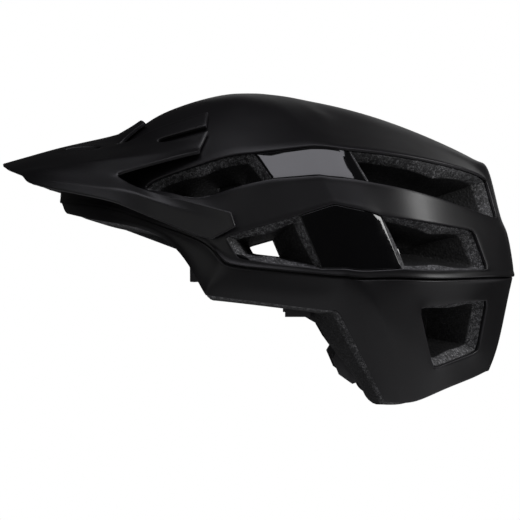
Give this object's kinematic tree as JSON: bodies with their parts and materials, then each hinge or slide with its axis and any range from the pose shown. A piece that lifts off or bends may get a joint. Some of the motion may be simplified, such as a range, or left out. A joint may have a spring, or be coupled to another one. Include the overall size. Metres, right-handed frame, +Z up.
{
  "type": "cycling helmet",
  "caption": "Matte trail cycling helmet with a wrap-around lower shell, a tilting peak, gloss vent panels, a dial headband and buckled chin straps.",
  "frame": {"origin": "middle of the head seat, on the centre plane, at the height of the head's widest line", "axes": "front is -X, the wearer's left is -Y, up is +Z"},
  "size_m": [0.3366, 0.2178, 0.2014],
  "materials": {
    "shell_matte": "matte",
    "panel_gloss": "gloss",
    "foam": "matte",
    "pad_fabric": "matte",
    "webbing": "matte",
    "nylon": "satin",
    "steel": "satin"
  },
  "bodies": {
    "helmet": {"top_shell": "shell_matte", "lower_shell": "shell_matte", "eps_liner": "foam", "insert_upper_left": "panel_gloss", "insert_upper_right": "panel_gloss", "insert_lower_left": "panel_gloss", "insert_lower_right": "panel_gloss", "visor_pin_left": "nylon", "visor_pin_right": "nylon", "visor_bush_left": "nylon", "visor_bush_right": "nylon", "brow_pad": "pad_fabric", "crown_pad": "pad_fabric", "side_pad_left": "pad_fabric", "side_pad_right": "pad_fabric", "height_rail": "nylon", "temple_clip_left": "nylon", "temple_clip_right": "nylon", "strap_anchor_front_left": "nylon", "strap_anchor_front_right": "nylon", "strap_anchor_rear_left": "nylon", "strap_anchor_rear_right": "nylon", "web_front_left": "webbing", "web_front_right": "webbing", "web_rear_left": "webbing", "web_rear_right": "webbing", "divider_left": "nylon", "divider_right": "nylon", "buckle_socket": "nylon"},
    "peak": {"visor": "shell_matte"},
    "band": {"cradle": "nylon", "cradle_pad_left": "pad_fabric", "cradle_pad_right": "pad_fabric", "dial_housing": "nylon", "detent_spring": "steel"},
    "dial": {"dial_knob": "nylon", "dial_pinion": "nylon", "dial_screw": "steel"},
    "arm_left": {"band_arm_left": "nylon"},
    "arm_right": {"band_arm_right": "nylon"},
    "lever_left": {"divider_lever_left": "nylon"},
    "lever_right": {"divider_lever_right": "nylon"},
    "tongue": {"buckle_tongue": "nylon"}
  },
  "joints": [
    {"name": "visor_tilt", "type": "hinge", "parent": "helmet", "child": "peak", "pos_m": [-0.043, 0, 0.022], "axis": [0, 1, 0], "range_deg": [0, 6]},
    {"name": "band_swing", "type": "hinge", "parent": "helmet", "child": "band", "pos_m": [0.004, 0, -0.025], "axis": [0, 1, 0], "range_deg": [-4, 4]},
    {"name": "dial_spin", "type": "hinge", "parent": "band", "child": "dial", "pos_m": [0.08367, 0, -0.071], "axis": [-0.866, 0, 0.5], "range_deg": [0, 120]},
    {"name": "arm_left_draw", "type": "hinge", "parent": "band", "child": "arm_left", "pos_m": [0.01872, 0, -0.0335], "axis": [0.5, 0, 0.866], "range_deg": [0, 8]},
    {"name": "arm_right_draw", "type": "hinge", "parent": "band", "child": "arm_right", "pos_m": [0.01872, 0, -0.0335], "axis": [-0.5, 0, -0.866], "range_deg": [0, 8]},
    {"name": "lever_left_flip", "type": "hinge", "parent": "helmet", "child": "lever_left", "pos_m": [-0.03672, -0.0547, 0.04696], "axis": [-0.955, 0.2948, 0.0319], "range_deg": [0, 85]},
    {"name": "lever_right_flip", "type": "hinge", "parent": "helmet", "child": "lever_right", "pos_m": [-0.03672, 0.0547, 0.04696], "axis": [0.955, 0.2948, -0.0319], "range_deg": [0, 85]},
    {"name": "buckle_release", "type": "slide", "parent": "helmet", "child": "tongue", "axis": [0, 1, 0], "range_m": [0, 0.014], "deforming": ["web_front_right"]}
  ],
  "couplings": [
    {"joint": "arm_left_draw", "follows": "dial_spin", "ratio": 0.066667},
    {"joint": "arm_right_draw", "follows": "dial_spin", "ratio": 0.066667}
  ]
}
